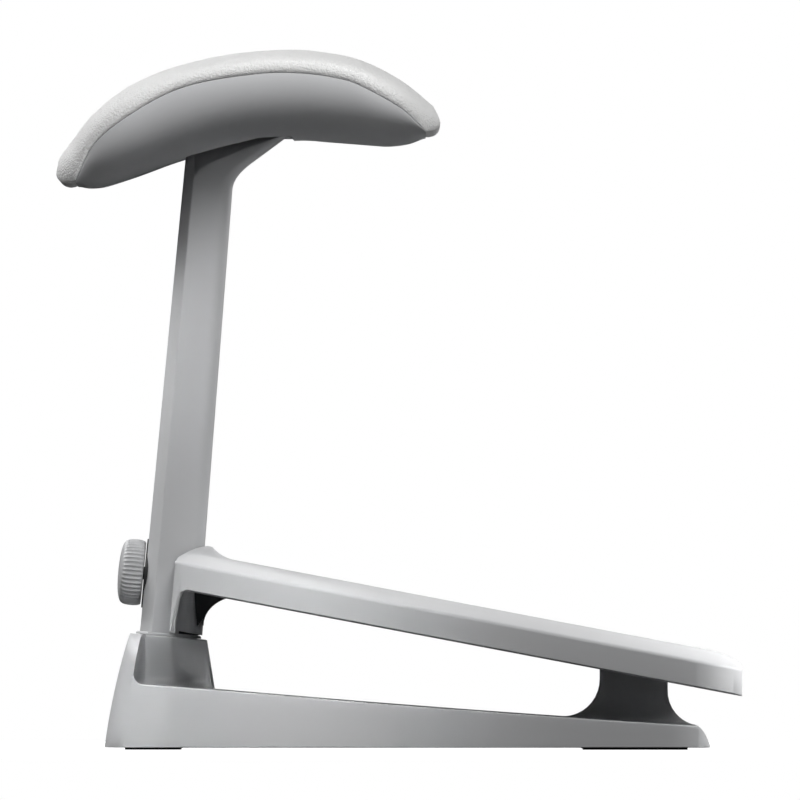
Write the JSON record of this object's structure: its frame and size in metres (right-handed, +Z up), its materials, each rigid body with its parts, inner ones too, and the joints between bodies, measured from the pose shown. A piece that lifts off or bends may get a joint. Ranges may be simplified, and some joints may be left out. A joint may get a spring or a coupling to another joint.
{
  "type": "two-level foot and leg rest",
  "caption": "Free-standing foot and leg rest for a desk chair: padded calf rest on a leaning post, with a sloped foot deck that slides up and tilts under a knob clamp.",
  "frame": {"origin": "floor level under the middle of the bounding box", "axes": "+X toward the seated person and down the foot deck, +Y across to the left, +Z up"},
  "size_m": [0.4254, 0.333, 0.4342],
  "materials": {
    "painted_casting": "light grey powder coat, fine texture, satin",
    "deck_plastic": "light grey moulded plastic, fine texture, satin",
    "shell_plastic": "mid grey moulded plastic, matte",
    "knob_plastic": "mid grey moulded plastic, matte",
    "leather": "near-white pebble-grained leather over foam",
    "board": "bare plywood",
    "steel": "zinc plated",
    "black_steel": "black oxide",
    "rubber": "black, matte",
    "nylon": "black nylon"
  },
  "bodies": {
    "frame": {"base_shell": "painted_casting", "ballast_plate": "black_steel", "post": "painted_casting", "post_gasket": "painted_casting", "pad_shell": "shell_plastic", "pad_board": "board", "pad_cushion": "leather", "front_pin": "steel", "front_clip_left": "black_steel", "front_clip_right": "black_steel", "plate_screw_1": "steel", "cushion_screw_1": "steel", "head_screw_1": "steel", "plate_screw_2": "steel", "cushion_screw_2": "steel", "head_screw_2": "steel", "plate_screw_3": "steel", "cushion_screw_3": "steel", "head_screw_3": "steel", "plate_screw_4": "steel", "cushion_screw_4": "steel", "head_screw_4": "steel", "post_bolt_1": "black_steel", "post_bolt_2": "black_steel", "foot_pad_rear_left": "rubber", "foot_pad_rear_right": "rubber", "foot_pad_front_left": "rubber", "foot_pad_front_right": "rubber"},
    "carriage": {"clamp_yoke": "painted_casting", "glide_liner": "nylon", "clamp_bracket": "nylon", "clamp_nut": "steel", "clamp_washer": "nylon", "tilt_pin": "steel", "tilt_clip_left": "black_steel", "tilt_clip_right": "black_steel"},
    "deck": {"foot_deck": "deck_plastic", "tilt_bush_left": "nylon", "tilt_bush_right": "nylon"},
    "knob": {"knob_grip": "knob_plastic", "knob_cap": "knob_plastic", "clamp_stud": "black_steel"}
  },
  "joints": [
    {"name": "carriage_slide", "type": "slide", "parent": "frame", "child": "carriage", "axis": [0.0772, 0, 0.997], "range_m": [0, 0.045]},
    {"name": "deck_tilt", "type": "hinge", "parent": "carriage", "child": "deck", "pos_m": [-0.10205, 0, 0.103], "axis": [0, 1, 0], "range_deg": [0, 9.88]},
    {"name": "knob_turn", "type": "hinge", "parent": "carriage", "child": "knob", "pos_m": [-0.15771, 0, 0.1094], "axis": [-0.9954, 0, 0.0957], "continuous": true}
  ],
  "couplings": [
    {"joint": "deck_tilt", "follows": "carriage_slide", "rad_per_m": 3.8312}
  ]
}
